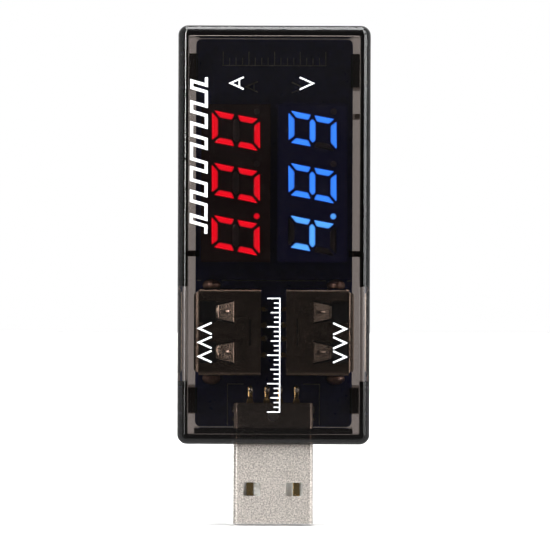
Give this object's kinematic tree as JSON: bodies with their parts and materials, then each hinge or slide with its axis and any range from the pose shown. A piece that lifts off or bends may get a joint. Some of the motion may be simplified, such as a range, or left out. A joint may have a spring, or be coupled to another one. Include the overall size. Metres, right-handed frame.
{
  "type": "usb power meter",
  "caption": "Plug-in USB power meter in a smoked see-through case, with a red current display and a blue voltage display above two side-facing USB-A sockets.",
  "frame": {"origin": "middle of the USB-A plug's section, on the plane of the case's lower end", "axes": "+Z along the case, away from the plug; the displays face -Y; +X is to the right of the displays as seen from the front"},
  "size_m": [0.0288, 0.0132, 0.0749],
  "materials": {
    "smoked_plastic": "see-through smoked, glossy",
    "solder_mask": "semi-gloss",
    "display_moulding": "matte",
    "red_epoxy": "diffusing epoxy",
    "blue_epoxy": "diffusing epoxy",
    "display_base": "matte",
    "nickel_plate": "plated, satin",
    "black_insulator": "matte",
    "white_insulator": "matte",
    "gold_plate": "gold plated",
    "chip_moulding": "matte",
    "resistor_film": "semi-gloss",
    "tan_ceramic": "satin"
  },
  "bodies": {
    "root": {"front_cover": "smoked_plastic", "back_cover": "smoked_plastic", "circuit_board": "solder_mask", "current_display_case": "display_moulding", "current_display_epoxy": "red_epoxy", "current_display_base": "display_base", "voltage_display_case": "display_moulding", "voltage_display_epoxy": "blue_epoxy", "voltage_display_base": "display_base", "plug_shell": "nickel_plate", "plug_insulator": "white_insulator", "plug_contact_1": "gold_plate", "plug_contact_2": "gold_plate", "plug_contact_3": "gold_plate", "plug_contact_4": "gold_plate", "left_socket_shell": "nickel_plate", "left_socket_insulator": "black_insulator", "left_socket_contact_1": "gold_plate", "left_socket_contact_2": "gold_plate", "left_socket_contact_3": "gold_plate", "left_socket_contact_4": "gold_plate", "right_socket_shell": "nickel_plate", "right_socket_insulator": "black_insulator", "right_socket_contact_1": "gold_plate", "right_socket_contact_2": "gold_plate", "right_socket_contact_3": "gold_plate", "right_socket_contact_4": "gold_plate", "microcontroller": "chip_moulding", "amplifier": "chip_moulding", "voltage_regulator": "chip_moulding", "shunt_resistor": "resistor_film", "input_capacitor": "tan_ceramic", "output_capacitor": "tan_ceramic", "regulator_capacitor": "tan_ceramic", "controller_capacitor": "tan_ceramic", "amplifier_capacitor": "tan_ceramic", "segment_resistor_1": "resistor_film", "segment_resistor_2": "resistor_film", "segment_resistor_3": "resistor_film", "segment_resistor_4": "resistor_film", "segment_resistor_5": "resistor_film", "segment_resistor_6": "resistor_film", "segment_resistor_7": "resistor_film", "segment_resistor_8": "resistor_film", "divider_resistor_1": "resistor_film", "divider_resistor_2": "resistor_film"}
  },
  "joints": []
}
